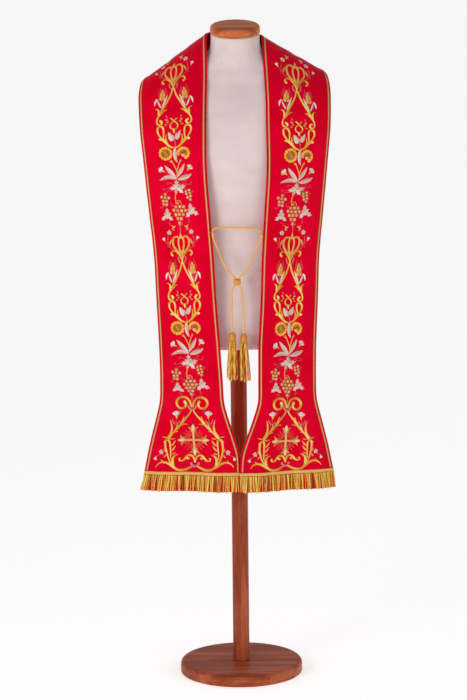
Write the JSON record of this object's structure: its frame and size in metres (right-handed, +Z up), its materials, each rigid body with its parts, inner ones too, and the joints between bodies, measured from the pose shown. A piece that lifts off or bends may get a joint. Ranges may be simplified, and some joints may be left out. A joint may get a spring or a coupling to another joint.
{
  "type": "clerical stole on a limbless dress form",
  "caption": "Long crimson priest's stole with gold edge braid, hem fringe, tie cord and tassels, worn over the shoulders of a limbless torso form on a wooden pole and round base.",
  "frame": {"origin": "centre of the round base's underside, on the floor", "axes": "+Z up along the pole, front of the garment towards -Y, +X to the right when seen from the front"},
  "size_m": [0.4853, 0.3124, 1.6734],
  "materials": {
    "red_satin": "crimson satin with a soft sheen, lined",
    "gold_braid": "woven gold metallic braid",
    "gold_bullion": "twisted gold rayon bullion threads",
    "gold_cord": "twisted gold cord",
    "pale_thread": "pale sewing thread",
    "beige_cover": "pinkish beige cotton cover",
    "varnished_wood": "reddish beech under satin varnish"
  },
  "bodies": {
    "root": {"stole_left": "red_satin", "stole_right": "red_satin", "edge_braid_left_inner": "gold_braid", "edge_braid_left_outer": "gold_braid", "edge_braid_right_inner": "gold_braid", "edge_braid_right_outer": "gold_braid", "fringe_left": "gold_bullion", "fringe_right": "gold_bullion", "tassel_left": "gold_bullion", "tassel_right": "gold_bullion", "tie_cord_left": "gold_cord", "tie_cord_right": "gold_cord", "tie_cord_bridge": "gold_cord", "slide_knot": "gold_cord", "cord_loop_left": "pale_thread", "cord_loop_right": "pale_thread", "form_torso": "beige_cover", "form_neck_cap": "varnished_wood", "form_pole": "varnished_wood", "form_base": "varnished_wood"}
  },
  "joints": []
}
